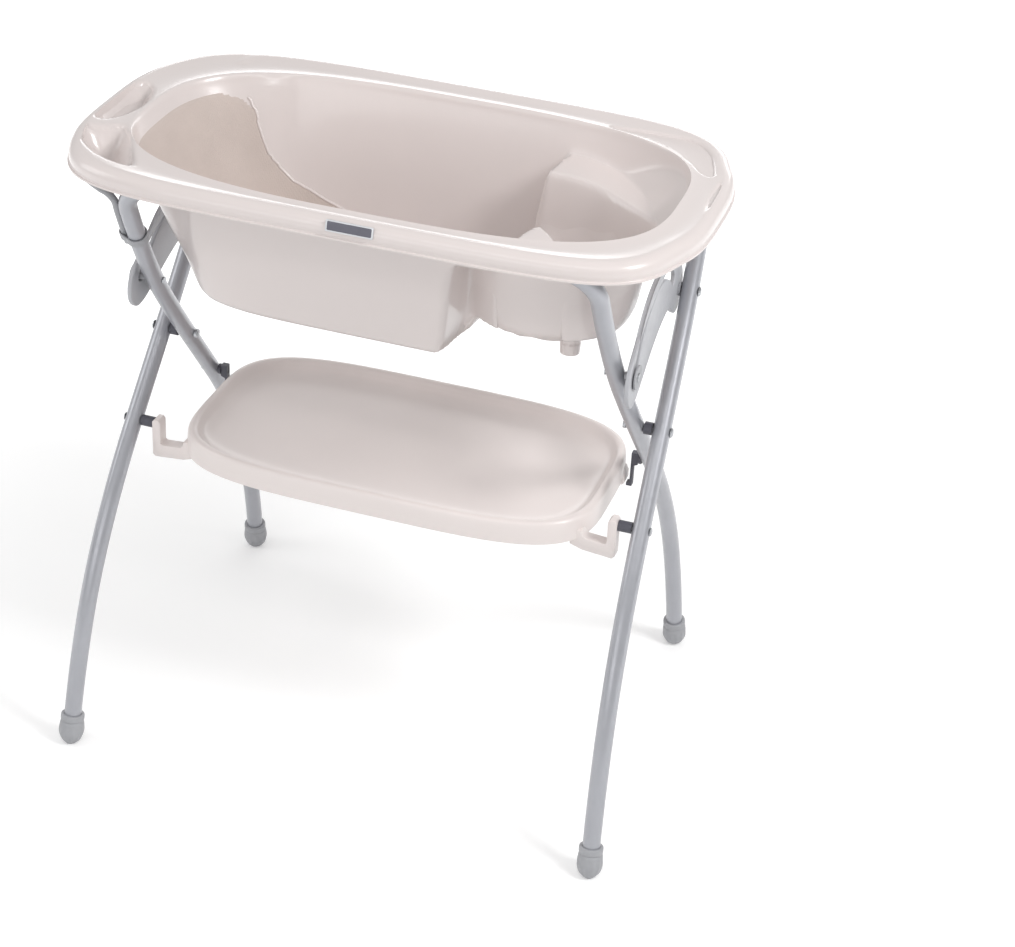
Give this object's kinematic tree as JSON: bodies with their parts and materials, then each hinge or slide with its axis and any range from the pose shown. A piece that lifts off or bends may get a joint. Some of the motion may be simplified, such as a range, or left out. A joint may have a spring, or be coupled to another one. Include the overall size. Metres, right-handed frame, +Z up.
{
  "type": "folding baby bath stand",
  "caption": "Baby bath with a moulded seat and grip pad, resting on a folding crossed tube stand with locking links, a storage tray and rubber feet.",
  "frame": {"origin": "on the floor, in the middle of the four feet", "axes": "+X along the long side to the right, +Y to the back, +Z up; standing open"},
  "size_m": [0.8935, 0.6202, 0.8967],
  "materials": {
    "painted_steel": "satin grey paint on steel tube",
    "zinc_fastener": "dull plated fastener",
    "link_plastic": "light grey moulded, satin",
    "dark_plastic": "dark grey moulded",
    "grey_plastic": "mid grey moulded, satin",
    "bath_plastic": "glossy pale warm grey moulding",
    "grip_pad": "matt soft-touch skin",
    "tray_plastic": "pale warm grey moulding, semi-gloss",
    "badge_plate": "blank silver-grey plate",
    "plug_rubber": "pale matt rubber"
  },
  "bodies": {
    "cross_pivots": {"pivot_spacer_left": "dark_plastic", "pivot_spacer_right": "dark_plastic", "pivot_bolt_left": "zinc_fastener", "pivot_bolt_right": "zinc_fastener", "pivot_nut_left": "zinc_fastener", "pivot_nut_right": "zinc_fastener"},
    "outer_frame": {"outer_frame_tube": "painted_steel", "foot_front_left": "grey_plastic", "foot_front_right": "grey_plastic", "link_bush_left": "grey_plastic", "link_bush_right": "grey_plastic", "link_bolt_left": "zinc_fastener", "link_bolt_right": "zinc_fastener", "link_nut_left": "zinc_fastener", "link_nut_right": "zinc_fastener", "front_stud_left": "dark_plastic", "front_stud_right": "dark_plastic", "front_stud_screw_left": "zinc_fastener", "front_stud_screw_right": "zinc_fastener"},
    "inner_frame": {"inner_frame_tube": "painted_steel", "foot_back_left": "grey_plastic", "foot_back_right": "grey_plastic", "rail_clip": "grey_plastic", "towel_rail": "grey_plastic", "rail_end_cap": "dark_plastic", "pin_bush_left": "grey_plastic", "pin_bush_right": "grey_plastic", "pin_washer_left": "grey_plastic", "pin_washer_right": "grey_plastic", "pin_rivet_left": "zinc_fastener", "pin_rivet_right": "zinc_fastener", "rear_stud_left": "dark_plastic", "rear_stud_right": "dark_plastic", "rear_stud_screw_left": "zinc_fastener", "rear_stud_screw_right": "zinc_fastener"},
    "link_right": {"fold_link_right": "link_plastic"},
    "link_left": {"fold_link_left": "link_plastic"},
    "tray_body": {"tray": "tray_plastic"},
    "catches": {"tray_catch_left": "dark_plastic", "tray_catch_right": "dark_plastic"},
    "bath": {"bath_tub": "bath_plastic", "backrest_grip_pad": "grip_pad", "front_badge": "badge_plate", "drain_spout": "bath_plastic"},
    "plug": {"drain_plug": "plug_rubber"}
  },
  "joints": [
    {"name": "outer_fold", "type": "hinge", "parent": "cross_pivots", "child": "outer_frame", "pos_m": [0, 0, 0.55011], "axis": [1, 0, 0], "range_deg": [0, 31.79]},
    {"name": "inner_fold", "type": "hinge", "parent": "cross_pivots", "child": "inner_frame", "pos_m": [0, 0, 0.55011], "axis": [1, 0, 0], "range_deg": [-31.79, 0]},
    {"name": "link_fold_right", "type": "hinge", "parent": "outer_frame", "child": "link_right", "pos_m": [0.3676, 0.12408, 0.70683], "axis": [0.9993, 0.0206, 0.0307], "range_deg": [0, 34.5]},
    {"name": "link_fold_left", "type": "hinge", "parent": "outer_frame", "child": "link_left", "pos_m": [-0.3676, 0.12408, 0.70683], "axis": [0.9993, -0.0206, -0.0307], "range_deg": [0, 34.5]},
    {"name": "tray_fold", "type": "hinge", "parent": "outer_frame", "child": "tray_body", "pos_m": [0, -0.09114, 0.44384], "axis": [1, 0, 0], "range_deg": [-104.6, 0]},
    {"name": "catch_fold", "type": "hinge", "parent": "inner_frame", "child": "catches", "pos_m": [0, 0.09114, 0.44384], "axis": [1, 0, 0], "range_deg": [-12.7, 0]},
    {"name": "bath_lift", "type": "slide", "parent": "cross_pivots", "child": "bath", "axis": [0, 0, 1], "range_m": [0, 1.001]},
    {"name": "plug_pull", "type": "slide", "parent": "bath", "child": "plug", "axis": [0, 0, 1], "range_m": [0, 0.04]}
  ],
  "couplings": [
    {"joint": "inner_fold", "follows": "outer_fold", "ratio": -1},
    {"joint": "link_fold_right", "follows": "outer_fold", "ratio": 1.077},
    {"joint": "link_fold_left", "follows": "outer_fold", "ratio": 1.077},
    {"joint": "tray_fold", "follows": "outer_fold", "ratio": -3.28},
    {"joint": "catch_fold", "follows": "outer_fold", "ratio": -0.39},
    {"joint": "bath_lift", "follows": "outer_fold", "m_per_rad": 1.8}
  ]
}
